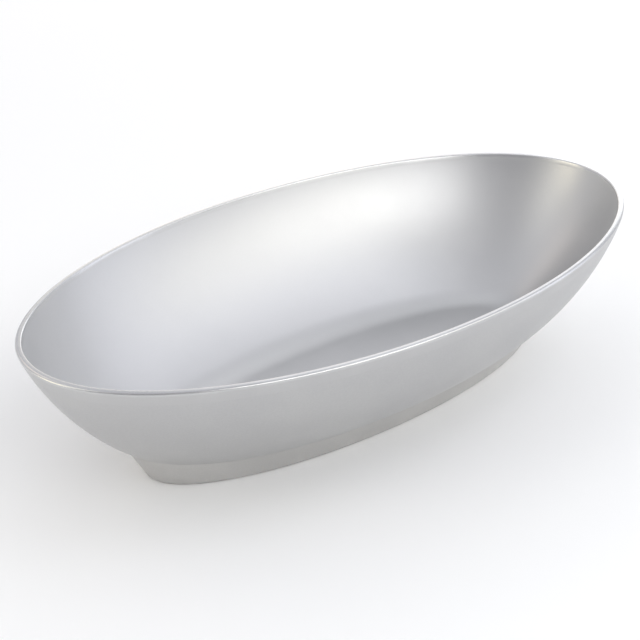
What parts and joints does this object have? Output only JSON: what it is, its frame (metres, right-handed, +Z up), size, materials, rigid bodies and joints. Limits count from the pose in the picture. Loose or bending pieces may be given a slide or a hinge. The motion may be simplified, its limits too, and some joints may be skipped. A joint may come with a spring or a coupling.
{
  "type": "sauce boat",
  "caption": "Oval open sauce boat with convex sloping walls, a rounded rim wire and a low oval foot ring, in satin silver-coloured metal.",
  "frame": {"origin": "centre of the foot ring's underside, on the table", "axes": "+X along the bowl's length, +Y across it, +Z up; the piece is the same towards +X and -X and towards +Y and -Y"},
  "size_m": [0.22, 0.1304, 0.0494],
  "materials": {
    "satin_bowl": "fine satin silver metal, smoother inside, slightly grainy outside",
    "polished_rim": "hand-polished silver metal",
    "satin_foot": "fine satin silver metal",
    "solder": "dressed silver solder, slightly duller than the sheet"
  },
  "bodies": {
    "root": {"bowl": "satin_bowl", "rim_wire": "polished_rim", "foot_ring": "satin_foot", "foot_seam": "solder"}
  },
  "joints": []
}
